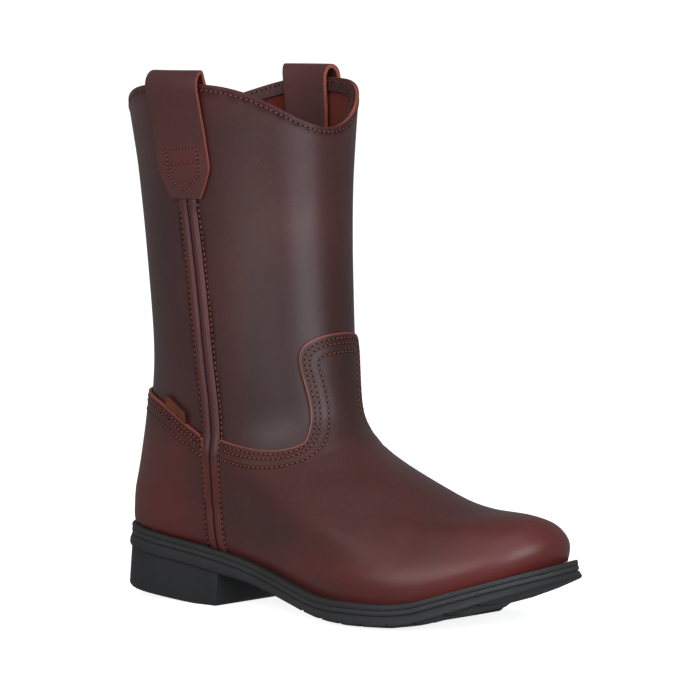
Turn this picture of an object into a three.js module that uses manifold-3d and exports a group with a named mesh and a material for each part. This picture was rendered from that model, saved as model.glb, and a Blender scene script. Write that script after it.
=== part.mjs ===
// Western work boot for the right foot: hollow leather upper on a rubber sole.
// Millimetres, +Z up, toe toward +X, inner side of the foot toward +Y.
import * as THREE from "three";
import Module from "manifold-3d";

// Driving sizes
const soleLength = 300;
const ballWidth = 108;
const shaftHeight = 290;
const heelLength = 91;
const seatRise = 28.5;
const fit = 0.3;

// Sole: layers from the top down, the widest ledge round the leather and the tread
const weltThick = 2.7;
const midsoleThick = 2.6;
const soleThickness = 13.5;
const seatThickness = 12.4;
const ledgeWidth = 5.2;
const insoleThick = 3.5;
const crown = 1.6;
const barPitch = 15;
const barWidth = 3;
const barDepth = 2.8;
const heelBevel = 5.6;

// Leather: walls of the upper, and the inner and outer face of what lies over it
const shaftWall = 2.3;
const liningWall = 1.8;
const leatherInner = 0.5;
const leatherOuter = 2.15;
const seamRise = 2;
const facingHeight = 7;
const facingThick = 1.2;

// Collar line
const frontDip = 24.5;
const backDip = 21.5;
const dipTurn = 0.08;

// Lean of the shaft over the sole, per millimetre of height
const leanForward = 0.008;
const leanInward = 0.03;

// Side seams, pull straps and tab
const seamHalfWidth = 6.1;
const strapDrop = 62.5;
const strapThick = 2.4;
const strapHalfWidth = 18;
const strapGap = 0.25;
const innerStrapShift = 0.8;
const tabHeight = 6;
const tabThick = 1.4;

// Rings of the upper from the feather line (v = 0) to the collar (v = 1).
// Front and back are x and z as shares of sole length and shaft height; heel, waist, ball and toe
// are half widths and the shift columns are sideways moves of the centre line as shares of ball
// width; round is the squareness of the ring's back and front end.
const rings = [
  {
    v: 0,
    front: [0.97, 0.119],
    back: [0.0217, 0.1431],
    half: [0.2917, 0.2778, 0.4306, 0.4259],
    shift: [0, -0.0324, -0.0093, 0.0741],
    round: [8.6, 4.9],
  },
  {
    v: 0.03,
    front: [0.9777, 0.15],
    back: [0.0153, 0.1517],
    half: [0.3056, 0.2963, 0.4491, 0.4259],
    shift: [0, -0.0324, -0.0093, 0.0741],
    round: [8.6, 4.8],
  },
  {
    v: 0.07,
    front: [0.9667, 0.1707],
    back: [0.0127, 0.1672],
    half: [0.3102, 0.3102, 0.4537, 0.4074],
    shift: [0, -0.0306, -0.0093, 0.0694],
    round: [8.2, 4.5],
  },
  {
    v: 0.115,
    front: [0.932, 0.1924],
    back: [0.011, 0.1828],
    half: [0.3102, 0.3194, 0.4352, 0.3796],
    shift: [0, -0.0278, -0.0093, 0.0574],
    round: [7.8, 4.1],
  },
  {
    v: 0.17,
    front: [0.8733, 0.1993],
    back: [0.01, 0.2],
    half: [0.3102, 0.3287, 0.4398, 0.3565],
    shift: [0, -0.0231, -0.0093, 0.0407],
    round: [7.2, 3.6],
  },
  {
    v: 0.24,
    front: [0.8, 0.2076],
    back: [0.0107, 0.2207],
    half: [0.3056, 0.338, 0.4213, 0.3333],
    shift: [0, -0.0185, -0.0074, 0.025],
    round: [6.4, 3.2],
  },
  {
    v: 0.32,
    front: [0.705, 0.2414],
    back: [0.0147, 0.2483],
    half: [0.3009, 0.3472, 0.3981, 0.3333],
    shift: [0, -0.0139, -0.0056, 0.0093],
    round: [5.4, 2.9],
  },
  {
    v: 0.41,
    front: [0.592, 0.2903],
    back: [0.0227, 0.2862],
    half: [0.3056, 0.3611, 0.3843, 0.3426],
    shift: [0, -0.0093, -0.0028, 0.0028],
    round: [4.4, 2.6],
  },
  {
    v: 0.49,
    front: [0.5193, 0.3483],
    back: [0.0343, 0.3379],
    half: [0.3194, 0.375, 0.3843, 0.3611],
    shift: [0, -0.0046, 0, 0],
    round: [3.6, 2.4],
  },
  {
    v: 0.56,
    front: [0.4983, 0.4138],
    back: [0.0453, 0.4034],
    half: [0.3426, 0.3889, 0.3954, 0.3843],
    shift: [0, 0, 0, 0],
    round: [3, 2.3],
  },
  {
    v: 0.65,
    front: [0.4883, 0.5069],
    back: [0.05, 0.4897],
    half: [0.3704, 0.4028, 0.4074, 0.3981],
    shift: [0, 0, 0, 0],
    round: [2.5, 2.2],
  },
  {
    v: 0.77,
    front: [0.48, 0.6552],
    back: [0.0383, 0.6483],
    half: [0.4102, 0.4194, 0.4213, 0.4167],
    shift: [0, 0, 0, 0],
    round: [2.2, 2.1],
  },
  {
    v: 0.89,
    front: [0.475, 0.831],
    back: [0.0207, 0.831],
    half: [0.4528, 0.4528, 0.4537, 0.4537],
    shift: [0, 0, 0, 0],
    round: [2.1, 2],
  },
  {
    v: 1,
    front: [0.4767, 1],
    back: [-0.0013, 1],
    half: [0.5185, 0.5185, 0.5185, 0.5185],
    shift: [0, 0, 0, 0],
    round: [2, 2],
  },
];
const stations = [0.1, 0.41, 0.69, 0.9];

// Outer edge of the sole's top: x as a share of sole length, and the rise over the ball as a share
// of the rise of the heel seat
const soleLine = [
  { x: -0.02, rise: 1.0228 },
  { x: 0, rise: 1 },
  { x: 0.0667, rise: 0.9263 },
  { x: 0.15, rise: 0.8211 },
  { x: 0.2333, rise: 0.7158 },
  { x: 0.3, rise: 0.6211 },
  { x: 0.3667, rise: 0.5088 },
  { x: 0.4333, rise: 0.3649 },
  { x: 0.5, rise: 0.2105 },
  { x: 0.55, rise: 0.0912 },
  { x: 0.6, rise: 0.0175 },
  { x: 0.64, rise: 0 },
  { x: 0.6933, rise: 0 },
  { x: 0.74, rise: 0 },
  { x: 0.7667, rise: 0.0105 },
  { x: 0.8033, rise: 0.0561 },
  { x: 0.8517, rise: 0.1965 },
  { x: 0.8933, rise: 0.3228 },
  { x: 0.9267, rise: 0.4211 },
  { x: 0.96, rise: 0.5158 },
  { x: 1.0133, rise: 0.6561 },
];

// Rise of the sole per millimetre toward the inner side, none behind the ball
const twistLine = [
  { x: 0, rise: 0 },
  { x: 0.65, rise: 0 },
  { x: 0.7, rise: 0.01 },
  { x: 0.75, rise: 0.034 },
  { x: 0.8, rise: 0.055 },
  { x: 0.85, rise: 0.058 },
  { x: 1, rise: 0.06 },
];

// Thickness of the sole under its top as a share of its greatest thickness
const thickLine = [
  { x: 0, thick: seatThickness / soleThickness },
  { x: 0.3, thick: seatThickness / soleThickness },
  { x: 0.4333, thick: 0.889 },
  { x: 0.5333, thick: 0.86 },
  { x: 0.6167, thick: 0.93 },
  { x: 0.6667, thick: 1 },
  { x: 0.7833, thick: 1 },
  { x: 0.9, thick: 0.94 },
  { x: 1, thick: 0.83 },
];

// Part of the sole's length that lies flat on the ground under the ball
const flatSpot = { from: 0.647, to: 0.763 };

// Width of the ledge outside the leather as a share of its widest, from the heel to the toe
const ledge = [
  { s: 0, wide: 0.69 },
  { s: 0.15, wide: 0.69 },
  { s: 0.42, wide: 0.81 },
  { s: 0.7, wide: 1 },
  { s: 1, wide: 1 },
];

// Centre line of the side seams: height and x as shares of shaft height and sole length
const seamLine = [
  { z: 0.1034, x: 0.2933 },
  { z: 0.1379, x: 0.292 },
  { z: 0.1897, x: 0.2907 },
  { z: 0.2586, x: 0.298 },
  { z: 0.3172, x: 0.3 },
  { z: 0.3793, x: 0.2967 },
  { z: 0.4069, x: 0.2943 },
  { z: 0.4828, x: 0.2853 },
  { z: 0.5517, x: 0.2783 },
  { z: 0.6207, x: 0.2707 },
  { z: 0.6897, x: 0.2627 },
  { z: 0.7586, x: 0.2543 },
  { z: 0.9931, x: 0.2383 },
];

// Upper edge of the counter and of the vamp's sides: x and height as the same shares
const counterLine = [
  { x: 0.0133, z: 0.4034 },
  { x: 0.04, z: 0.4034 },
  { x: 0.0733, z: 0.4017 },
  { x: 0.1033, z: 0.3983 },
  { x: 0.1387, z: 0.3907 },
  { x: 0.1713, z: 0.3814 },
  { x: 0.2, z: 0.369 },
  { x: 0.23, z: 0.3524 },
  { x: 0.2633, z: 0.3352 },
  { x: 0.28, z: 0.3269 },
  { x: 0.3333, z: 0.3121 },
];
const vampLine = [
  { x: 0.28, z: 0.3297 },
  { x: 0.3167, z: 0.3266 },
  { x: 0.3533, z: 0.3193 },
  { x: 0.4, z: 0.3103 },
  { x: 0.4467, z: 0.3079 },
  { x: 0.4767, z: 0.3152 },
  { x: 0.5, z: 0.331 },
];

// Rows of the tongue: height at its sides and rise at its middle as shares of shaft height, half
// width as a share of the way round
const tongue = [
  { z: 0.331, half: 0.1, rise: 0.0276 },
  { z: 0.35, half: 0.0865, rise: 0.031 },
  { z: 0.3759, half: 0.077, rise: 0.031 },
  { z: 0.4069, half: 0.0765, rise: 0.031 },
  { z: 0.4379, half: 0.081, rise: 0.0328 },
  { z: 0.4621, half: 0.0855, rise: 0.0379 },
  { z: 0.4793, half: 0.087, rise: 0.0466 },
];

// Path of a pull strap: height over the collar as a share of its drop, how far it has passed
// from the outside (0) to the inside (1) of the shaft, half width and swing toward the toe as
// shares of the half width
const strapPath = [
  { up: -1, pass: 0, half: 0.6, swing: 0 },
  { up: -0.944, pass: 0, half: 0.72, swing: 0 },
  { up: -0.864, pass: 0, half: 0.86, swing: 0 },
  { up: -0.784, pass: 0, half: 0.98, swing: 0 },
  { up: -0.704, pass: 0, half: 1.05, swing: 0 },
  { up: -0.576, pass: -0.007, half: 1.03, swing: 0 },
  { up: -0.416, pass: -0.034, half: 1.02, swing: 0 },
  { up: -0.256, pass: -0.103, half: 1, swing: 0 },
  { up: -0.112, pass: -0.186, half: 1, swing: 0 },
  { up: -0.008, pass: -0.214, half: 1, swing: 0 },
  { up: 0.064, pass: -0.09, half: 1, swing: 0 },
  { up: 0.106, pass: 0.186, half: 1, swing: 0 },
  { up: 0.118, pass: 0.503, half: 1, swing: 0 },
  { up: 0.099, pass: 0.793, half: 0.97, swing: 0 },
  { up: 0.048, pass: 1.014, half: 0.94, swing: 0.017 },
  { up: -0.032, pass: 1.097, half: 0.94, swing: 0.056 },
  { up: -0.176, pass: 1.055, half: 0.94, swing: 0.144 },
  { up: -0.32, pass: 1.014, half: 0.94, swing: 0.233 },
  { up: -0.48, pass: 1, half: 0.94, swing: 0.311 },
  { up: -0.64, pass: 1, half: 0.94, swing: 0.367 },
];

// Smooth curve through points that never overshoots them, straight beyond its ends
function curve(xs, ys) {
  const n = xs.length;
  const step = [];
  for (let i = 0; i < n - 1; i++) {
    step.push((ys[i + 1] - ys[i]) / (xs[i + 1] - xs[i]));
  }
  const slope = [step[0]];
  for (let i = 1; i < n - 1; i++) {
    const a = step[i - 1];
    const b = step[i];
    if (a * b <= 0) {
      slope.push(0);
    } else {
      const h0 = xs[i] - xs[i - 1];
      const h1 = xs[i + 1] - xs[i];
      const w0 = 2 * h1 + h0;
      const w1 = h1 + 2 * h0;
      slope.push((w0 + w1) / (w0 / a + w1 / b));
    }
  }
  slope.push(step[n - 2]);
  return (x) => {
    if (x <= xs[0]) return ys[0] + slope[0] * (x - xs[0]);
    if (x >= xs[n - 1]) return ys[n - 1] + slope[n - 1] * (x - xs[n - 1]);
    let i = 0;
    while (x > xs[i + 1]) i++;
    const h = xs[i + 1] - xs[i];
    const t = (x - xs[i]) / h;
    const a = (1 + 2 * t) * (1 - t) * (1 - t);
    const b = t * (1 - t) * (1 - t);
    const c = t * t * (3 - 2 * t);
    const d = t * t * (t - 1);
    return a * ys[i] + b * h * slope[i] + c * ys[i + 1] + d * h * slope[i + 1];
  };
}

// Natural cubic spline, used where the rings must flow into each other
function spline(xs, ys) {
  const n = xs.length;
  const bend = new Array(n).fill(0);
  const carry = new Array(n).fill(0);
  for (let i = 1; i < n - 1; i++) {
    const s = (xs[i] - xs[i - 1]) / (xs[i + 1] - xs[i - 1]);
    const p = s * bend[i - 1] + 2;
    const left = (ys[i] - ys[i - 1]) / (xs[i] - xs[i - 1]);
    const right = (ys[i + 1] - ys[i]) / (xs[i + 1] - xs[i]);
    bend[i] = (s - 1) / p;
    carry[i] = ((6 * (right - left)) / (xs[i + 1] - xs[i - 1]) - s * carry[i - 1]) / p;
  }
  for (let i = n - 2; i >= 0; i--) {
    bend[i] = bend[i] * bend[i + 1] + carry[i];
  }
  bend[0] = 0;
  return (x) => {
    let i = 0;
    while (i < n - 2 && x > xs[i + 1]) i++;
    const h = xs[i + 1] - xs[i];
    const a = (xs[i + 1] - x) / h;
    const b = (x - xs[i]) / h;
    if (a > 1 || b > 1) {
      const side = a > 1 ? -1 : 1;
      const at = a > 1 ? 0 : 1;
      const edge = a > 1 ? ys[i] : ys[i + 1];
      const far = side * (h / 6) * (at ? bend[i] : bend[i + 1]);
      const slope = (ys[i + 1] - ys[i]) / h + far;
      return edge + slope * (x - (at ? xs[i + 1] : xs[i]));
    }
    const lift = ((a * a * a - a) * bend[i] + (b * b * b - b) * bend[i + 1]) * ((h * h) / 6);
    return a * ys[i] + b * ys[i + 1] + lift;
  };
}

const lerp = (a, b, t) => a + (b - a) * t;
const clamp = (x, a, b) => Math.min(b, Math.max(a, x));
const column = (table, key) => table.map((row) => row[key]);

// The ring's columns as curves of v
const vs = column(rings, "v");
const ringCurve = (pick) => spline(vs, rings.map(pick));
const frontX = ringCurve((r) => r.front[0] * soleLength);
const frontZ = ringCurve((r) => r.front[1] * shaftHeight);
const backX = ringCurve((r) => r.back[0] * soleLength);
const backZ = ringCurve((r) => r.back[1] * shaftHeight);
const halfCurves = stations.map((s, i) => ringCurve((r) => r.half[i] * ballWidth));
const shiftCurves = stations.map((s, i) => ringCurve((r) => r.shift[i] * ballWidth));
const roundBack = ringCurve((r) => r.round[0]);
const roundFront = ringCurve((r) => r.round[1]);

const alongSole = (table, key, scale) =>
  curve(
    table.map((p) => p.x * soleLength),
    table.map((p) => p[key] * scale)
  );
const outerEdge = alongSole(soleLine, "rise", seatRise);
const twist = alongSole(twistLine, "rise", 1);
const thickness = alongSole(thickLine, "thick", soleThickness);
const soleTop = (x, y) => soleThickness + outerEdge(x) + twist(x) * (y + ballWidth / 2);
const ledgeWide = curve(column(ledge, "s"), ledge.map((p) => p.wide * ledgeWidth));
const seamX = curve(
  seamLine.map((p) => p.z * shaftHeight),
  seamLine.map((p) => p.x * soleLength)
);
const counterTop = alongSole(counterLine, "z", shaftHeight);
const vampTop = alongSole(vampLine, "z", shaftHeight);

const ringCache = new Map();

// All the numbers of one ring
function ringAt(v) {
  if (!ringCache.has(v)) {
    ringCache.set(v, {
      x0: frontX(v),
      z0: frontZ(v),
      x1: backX(v),
      z1: backZ(v),
      half: spline(stations, halfCurves.map((f) => f(v))),
      shift: curve(stations, shiftCurves.map((f) => f(v))),
      back: roundBack(v),
      front: roundFront(v),
    });
  }
  return ringCache.get(v);
}

// Place across of a ring at a turn round it
function sideways(ring, turn) {
  const c = Math.cos(turn);
  const s = (1 + c) / 2;
  const power = c > 0 ? ring.front : ring.back;
  const wide = ring.half(s) * Math.sqrt(Math.max(0, 1 - Math.pow(Math.abs(c), power)));
  return ring.shift(s) + (Math.sin(turn) < 0 ? wide : -wide);
}

// Outer face of the upper without overlays: u runs round from the toe by the outer side
function surface(u, v) {
  const ring = ringAt(v);
  const turn = 2 * Math.PI * u;
  const c = Math.cos(turn);
  const t = (1 - c) / 2;
  const x = lerp(ring.x0, ring.x1, t);
  const y = sideways(ring, turn);
  const fade = clamp(1 - v / 0.3, 0, 1);
  const settle = fade * fade * (3 - 2 * fade);
  const foot = ringAt(0);
  const chord = lerp(foot.z0, foot.z1, t);
  const seat = soleTop(lerp(foot.x0, foot.x1, t), sideways(foot, turn)) + fit;
  const rise = clamp((v - 0.6) / 0.4, 0, 1);
  const toFront = Math.max(0, Math.cos(turn - dipTurn));
  const toBack = Math.max(0, -c);
  const fall = turn < Math.PI ? 3.2 : 1.65;
  const dip = frontDip * Math.pow(toFront, 4) + backDip * Math.pow(toBack, fall);
  const z = lerp(ring.z0, ring.z1, t) + settle * (seat - chord) - dip * rise * rise;
  const start = clamp(v / 0.2, 0, 1);
  const lean = (z - soleThickness) * start * start * (3 - 2 * start);
  return new THREE.Vector3(x + leanForward * lean, y + leanInward * lean, z);
}

function alongU(u, v) {
  return surface(u + 0.0005, v).sub(surface(u - 0.0005, v)).multiplyScalar(1000);
}

function normalAt(u, v) {
  const low = Math.max(0, v - 0.001);
  const high = Math.min(1, v + 0.001);
  const up = surface(u, high).sub(surface(u, low));
  const n = new THREE.Vector3().crossVectors(up, alongU(u, v)).normalize();
  n.z *= clamp(v / 0.04, 0, 1);
  return n.normalize();
}

// Point at a distance outside the upper's outer face, resting on the sole at v = 0
function point(u, v, off) {
  const p = surface(u, v);
  if (off === 0) return p;
  const q = p.clone().addScaledVector(normalAt(u, v), off);
  const near = clamp(1 - v / 0.07, 0, 1);
  q.z += near * (soleTop(q.x, q.y) - soleTop(p.x, p.y));
  return q;
}

// v of a height on the column u
function heightV(u, z) {
  let low = 0;
  let high = 1;
  for (let i = 0; i < 26; i++) {
    const mid = (low + high) / 2;
    if (surface(u, mid).z < z) low = mid;
    else high = mid;
  }
  return (low + high) / 2;
}

// v where the column u crosses a line given as height over x
function lineV(u, line) {
  let low = 0.2;
  let high = 0.75;
  for (let i = 0; i < 26; i++) {
    const mid = (low + high) / 2;
    const p = surface(u, mid);
    if (p.z < line(p.x)) low = mid;
    else high = mid;
  }
  return (low + high) / 2;
}

// u of the seam's centre on the ring v, outer side; the inner side is 1 minus it
function seamU(v) {
  const ring = ringAt(v);
  let u = 0.25;
  for (let i = 0; i < 12; i++) {
    const x = seamX(surface(u, v).z);
    const c = clamp((2 * (x - ring.x1)) / (ring.x0 - ring.x1) - 1, -0.98, 0.98);
    u = Math.acos(c) / (2 * Math.PI);
  }
  return u;
}

// u at a distance in millimetres round the ring from the seam, positive toward the back
function besideSeam(v, distance) {
  const u = seamU(v);
  return u + distance / alongU(u + distance / 600, v).length();
}

// Closed mesh from two matching sets of points and the faces that join them
function thicken(outer, inner, quads) {
  const n = outer.length;
  const triangles = [];
  const edges = new Map();
  const push = (a, b, c) => {
    triangles.push(a, b, c);
    triangles.push(n + a, n + c, n + b);
  };
  for (const [a, b, c, d] of quads) {
    if (outer[a].distanceTo(outer[c]) <= outer[b].distanceTo(outer[d])) {
      push(a, b, c);
      push(a, c, d);
    } else {
      push(a, b, d);
      push(b, c, d);
    }
    for (const [p, q] of [[a, b], [b, c], [c, d], [d, a]]) {
      if (edges.has(q + "_" + p)) edges.delete(q + "_" + p);
      else edges.set(p + "_" + q, [p, q]);
    }
  }
  for (const [p, q] of edges.values()) {
    triangles.push(q, p, n + p);
    triangles.push(q, n + p, n + q);
  }
  return meshFrom([...outer, ...inner], triangles);
}

// Geometry whose faces look outward
function meshFrom(points, triangles) {
  let volume = 0;
  for (let i = 0; i < triangles.length; i += 3) {
    const a = points[triangles[i]];
    const b = points[triangles[i + 1]];
    const c = points[triangles[i + 2]];
    volume += a.dot(new THREE.Vector3().crossVectors(b, c));
  }
  const index = [];
  for (let i = 0; i < triangles.length; i += 3) {
    const [a, b, c] = triangles.slice(i, i + 3);
    if (volume > 0) index.push(a, b, c);
    else index.push(a, c, b);
  }
  const geometry = new THREE.BufferGeometry();
  const flat = points.flatMap((p) => [p.x, p.y, p.z]);
  geometry.setAttribute("position", new THREE.Float32BufferAttribute(flat, 3));
  geometry.setIndex(index);
  return geometry;
}

// Faces of a grid of rows and columns, closed round when wrap is true
function gridQuads(rows, columns, wrap) {
  const quads = [];
  const last = wrap ? columns : columns - 1;
  for (let i = 0; i < rows - 1; i++) {
    for (let j = 0; j < last; j++) {
      const k = (j + 1) % columns;
      quads.push([i * columns + j, i * columns + k, (i + 1) * columns + k, (i + 1) * columns + j]);
    }
  }
  return quads;
}

// Body between loops of points stacked from top to bottom, closed by faces across the loop
function stack(loops, left, right) {
  const n = loops[0].length;
  const points = loops.flat();
  const triangles = [];
  for (let i = 0; i < loops.length - 1; i++) {
    for (let j = 0; j < n; j++) {
      const a = i * n + j;
      const b = i * n + ((j + 1) % n);
      triangles.push(a, a + n, b + n);
      triangles.push(a, b + n, b);
    }
  }
  const foot = (loops.length - 1) * n;
  for (let k = 0; k < left.length - 1; k++) {
    const ring = [left[k], left[k + 1], right[k + 1], right[k]];
    for (const [a, b, c] of [[0, 1, 2], [0, 2, 3]]) {
      const face = [ring[a], ring[b], ring[c]];
      if (new Set(face).size < 3) continue;
      triangles.push(face[0], face[1], face[2]);
      triangles.push(foot + face[0], foot + face[2], foot + face[1]);
    }
  }
  return meshFrom(points, triangles);
}

const columnsRound = 44;
const rowsUp = [
  0, 0.03, 0.065, 0.1, 0.14, 0.18, 0.22, 0.27, 0.32, 0.365, 0.41, 0.43, 0.45, 0.47, 0.49,
  0.508, 0.526, 0.544, 0.57, 0.62, 0.68, 0.75, 0.83, 0.9, 0.96, 1,
];
const lowRows = rowsUp.filter((v) => v <= 0.49);

// Row of an overlay: the upper's own rows low down, stretched to its edge above them
function overlayV(row, top) {
  const start = 0.22;
  if (row <= start) return row;
  return start + ((row - start) * (top - start)) / (0.49 - start);
}

// Foot lining and shaft in one piece
function upperGeometry() {
  const outer = [];
  const inner = [];
  for (const v of rowsUp) {
    const wall = lerp(liningWall, shaftWall, clamp((v - 0.4) / 0.2, 0, 1));
    for (let j = 0; j < columnsRound; j++) {
      outer.push(point(j / columnsRound, v, 0));
      inner.push(point(j / columnsRound, v, -wall));
    }
  }
  return thicken(outer, inner, gridQuads(rowsUp.length, columnsRound, true));
}

// Foremost leather with its tongue up the shin
function vampGeometry() {
  const reach = 13;
  const shared = 9;
  const tongueReach = 5;
  const places = [];
  const quads = [];
  const across = 2 * reach + 1;
  const columnU = (k, v) => {
    const near = Math.min(Math.abs(k), shared) / columnsRound;
    const edge = besideSeam(v, -(seamHalfWidth + fit));
    const more = Math.max(0, Math.abs(k) - shared) / (reach - shared);
    return Math.sign(k) * lerp(near, edge, more);
  };
  const tops = [];
  for (let k = -reach; k <= reach; k++) {
    const middle = () => shaftHeight * (0.3172 + 0.0207 * (1 - (k / tongueReach) ** 2));
    let v = 0.44;
    for (let i = 0; i < 8; i++) {
      v = lineV(columnU(k, v), Math.abs(k) >= tongueReach ? vampTop : middle);
    }
    tops.push(v);
  }
  for (const row of lowRows) {
    for (let k = -reach; k <= reach; k++) {
      const v = overlayV(row, tops[k + reach]);
      places.push([columnU(k, v), v]);
    }
  }
  quads.push(...gridQuads(lowRows.length, across, false));
  const wide = 2 * tongueReach + 1;
  let below = [];
  for (let k = -tongueReach; k <= tongueReach; k++) {
    below.push((lowRows.length - 1) * across + k + reach);
  }
  tongue.forEach((row, i) => {
    const last = clamp((i - 4) / 2, 0, 1);
    const here = [];
    for (let k = -tongueReach; k <= tongueReach; k++) {
      const flat = k / tongueReach;
      const side = lerp(flat, Math.sin((flat * Math.PI) / 2), last);
      const power = lerp(2, 2.4, last);
      const arch = Math.pow(Math.max(0, 1 - Math.pow(Math.abs(side), power)), 1 / lerp(1, 2.4, last));
      const u = row.half * side;
      here.push(places.length);
      places.push([u, heightV(u, shaftHeight * (row.z + row.rise * arch))]);
    }
    for (let j = 0; j < wide - 1; j++) {
      quads.push([below[j], below[j + 1], here[j + 1], here[j]]);
    }
    below = here;
  });
  const outer = places.map(([u, v]) => point(u, v, leatherOuter));
  const inner = places.map(([u, v]) => point(u, v, leatherInner));
  return thicken(outer, inner, quads);
}

// Leather round the heel, from seam to seam
function counterGeometry() {
  const reach = 9;
  const shared = 6;
  const across = 2 * reach + 1;
  const columnU = (k, v) => {
    const near = Math.min(Math.abs(k), shared) / columnsRound;
    const edge = 0.5 - besideSeam(v, seamHalfWidth + fit);
    const more = Math.max(0, Math.abs(k) - shared) / (reach - shared);
    return 0.5 + Math.sign(k) * lerp(near, edge, more);
  };
  const outer = [];
  const inner = [];
  const tops = [];
  for (let k = -reach; k <= reach; k++) {
    let v = 0.44;
    for (let i = 0; i < 8; i++) {
      v = lineV(columnU(k, v), counterTop);
    }
    tops.push(v);
  }
  for (const row of lowRows) {
    for (let k = -reach; k <= reach; k++) {
      const v = overlayV(row, tops[k + reach]);
      const u = columnU(k, v);
      outer.push(point(u, v, leatherOuter));
      inner.push(point(u, v, leatherInner));
    }
  }
  return thicken(outer, inner, gridQuads(lowRows.length, across, false));
}

// Raised side seam: two rounded lobes with a groove between them
function seamGeometry(side) {
  const profile = [
    { q: -1, shaft: 0.5, foot: 0.08 },
    { q: -0.72, shaft: 1, foot: 0.52 },
    { q: -0.3, shaft: 0.95, foot: 0.48 },
    { q: 0, shaft: 0.55, foot: 0.03 },
    { q: 0.3, shaft: 0.95, foot: 0.48 },
    { q: 0.72, shaft: 1, foot: 0.52 },
    { q: 1, shaft: 0.5, foot: 0.08 },
  ];
  const top = heightV(seamU(0.83), shaftHeight - strapDrop - fit);
  const rows = rowsUp.filter((v) => v < top - 0.02).concat(top);
  const outer = [];
  const inner = [];
  for (const v of rows) {
    const z = surface(seamU(v), v).z;
    const foot = clamp((0.331 * shaftHeight - z) / 8, 0, 1);
    for (const p of profile) {
      const u = besideSeam(v, p.q * seamHalfWidth);
      const at = side > 0 ? 1 - u : u;
      outer.push(point(at, v, lerp(seamRise * p.shaft, leatherOuter + seamRise * p.foot, foot)));
      inner.push(point(at, v, leatherInner));
    }
  }
  return thicken(outer, inner, gridQuads(rows.length, profile.length, false));
}

// Turned-in band inside the collar
function facingGeometry() {
  const rows = [0, 1];
  const outer = [];
  const inner = [];
  for (const r of rows) {
    for (let j = 0; j < columnsRound; j++) {
      const u = j / columnsRound;
      const foot = heightV(u, surface(u, 1).z - facingHeight);
      const v = lerp(foot, 1, r);
      outer.push(point(u, v, -(shaftWall + fit)));
      inner.push(point(u, v, -(shaftWall + fit + facingThick)));
    }
  }
  return thicken(outer, inner, gridQuads(rows.length, columnsRound, true));
}

// Point at a height and a distance from the shaft, going straight up above the collar
function shaftPoint(u, z, off) {
  const rim = surface(u, 1);
  if (z < rim.z) return point(u, heightV(u, z), off);
  const p = point(u, 1, off);
  p.z = z;
  return p;
}

// Pull strap sewn to the shaft, looped over the collar and down its inside
function strapGeometry(side) {
  const columns = 5;
  const outer = [];
  const inner = [];
  const seam = seamU(0.93);
  const outside = fit + strapGap + strapThick / 2;
  const inside = -(shaftWall + facingThick + 2 * fit + strapGap + strapThick / 2);
  const path = strapPath.map((p) => ({
    ...p,
    z: shaftHeight + p.up * strapDrop,
    off: lerp(outside, inside, p.pass),
  }));
  path.forEach((p, i) => {
    const a = path[Math.max(0, i - 1)];
    const b = path[Math.min(path.length - 1, i + 1)];
    const length = Math.hypot(b.z - a.z, b.off - a.off);
    const out = (b.z - a.z) / length;
    const up = -(b.off - a.off) / length;
    const half = strapHalfWidth * p.half;
    const move = (side > 0 ? -innerStrapShift : 0) - strapHalfWidth * p.swing;
    for (let k = 0; k < columns; k++) {
      const q = (2 * k) / (columns - 1) - 1;
      const u = seam + (q * half + move) / alongU(seam, 0.93).length();
      const at = side > 0 ? 1 - u : u;
      const t = strapThick / 2;
      outer.push(shaftPoint(at, p.z + up * t, p.off + out * t));
      inner.push(shaftPoint(at, p.z - up * t, p.off - out * t));
    }
  });
  return thicken(outer, inner, gridQuads(strapPath.length, columns, false));
}

// Folded cloth tab that stands in the counter's upper edge
function tabGeometry() {
  const outer = [];
  const inner = [];
  for (const r of [0, 0.5, 1]) {
    for (let k = 0; k < 5; k++) {
      const x = lerp(0.235, 0.173, k / 4) * soleLength;
      let u = 0.3;
      for (let i = 0; i < 12; i++) {
        const ring = ringAt(lineV(u, counterTop));
        const c = (2 * (x - ring.x1)) / (ring.x0 - ring.x1) - 1;
        u = Math.acos(clamp(c, -0.99, 0.99)) / (2 * Math.PI);
      }
      const z = surface(u, lineV(u, counterTop)).z + 3 * fit + tabHeight * r;
      outer.push(point(u, heightV(u, z), leatherInner + tabThick + fit * r));
      inner.push(point(u, heightV(u, z), leatherInner + fit * r));
    }
  }
  return thicken(outer, inner, gridQuads(3, 5, false));
}

const around = 60;

// Point in plan at a distance outside the feather line
function planPoint(u, off) {
  const p = surface(u, 0);
  const n = alongU(u, 0);
  const length = Math.hypot(n.x, n.y);
  return { x: p.x - (n.y / length) * off, y: p.y + (n.x / length) * off };
}

// Tilt of the sole's top
function tiltAt(x, y) {
  return Math.atan(soleTop(x + 0.5, y) - soleTop(x - 0.5, y));
}

// The plan point carried down through the sole, square to its top
function soleDepth(x, y, depth) {
  const at = x + depth * Math.sin(tiltAt(x, y));
  return new THREE.Vector3(at, y, soleTop(at, y) - depth / Math.cos(tiltAt(at, y)));
}

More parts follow.
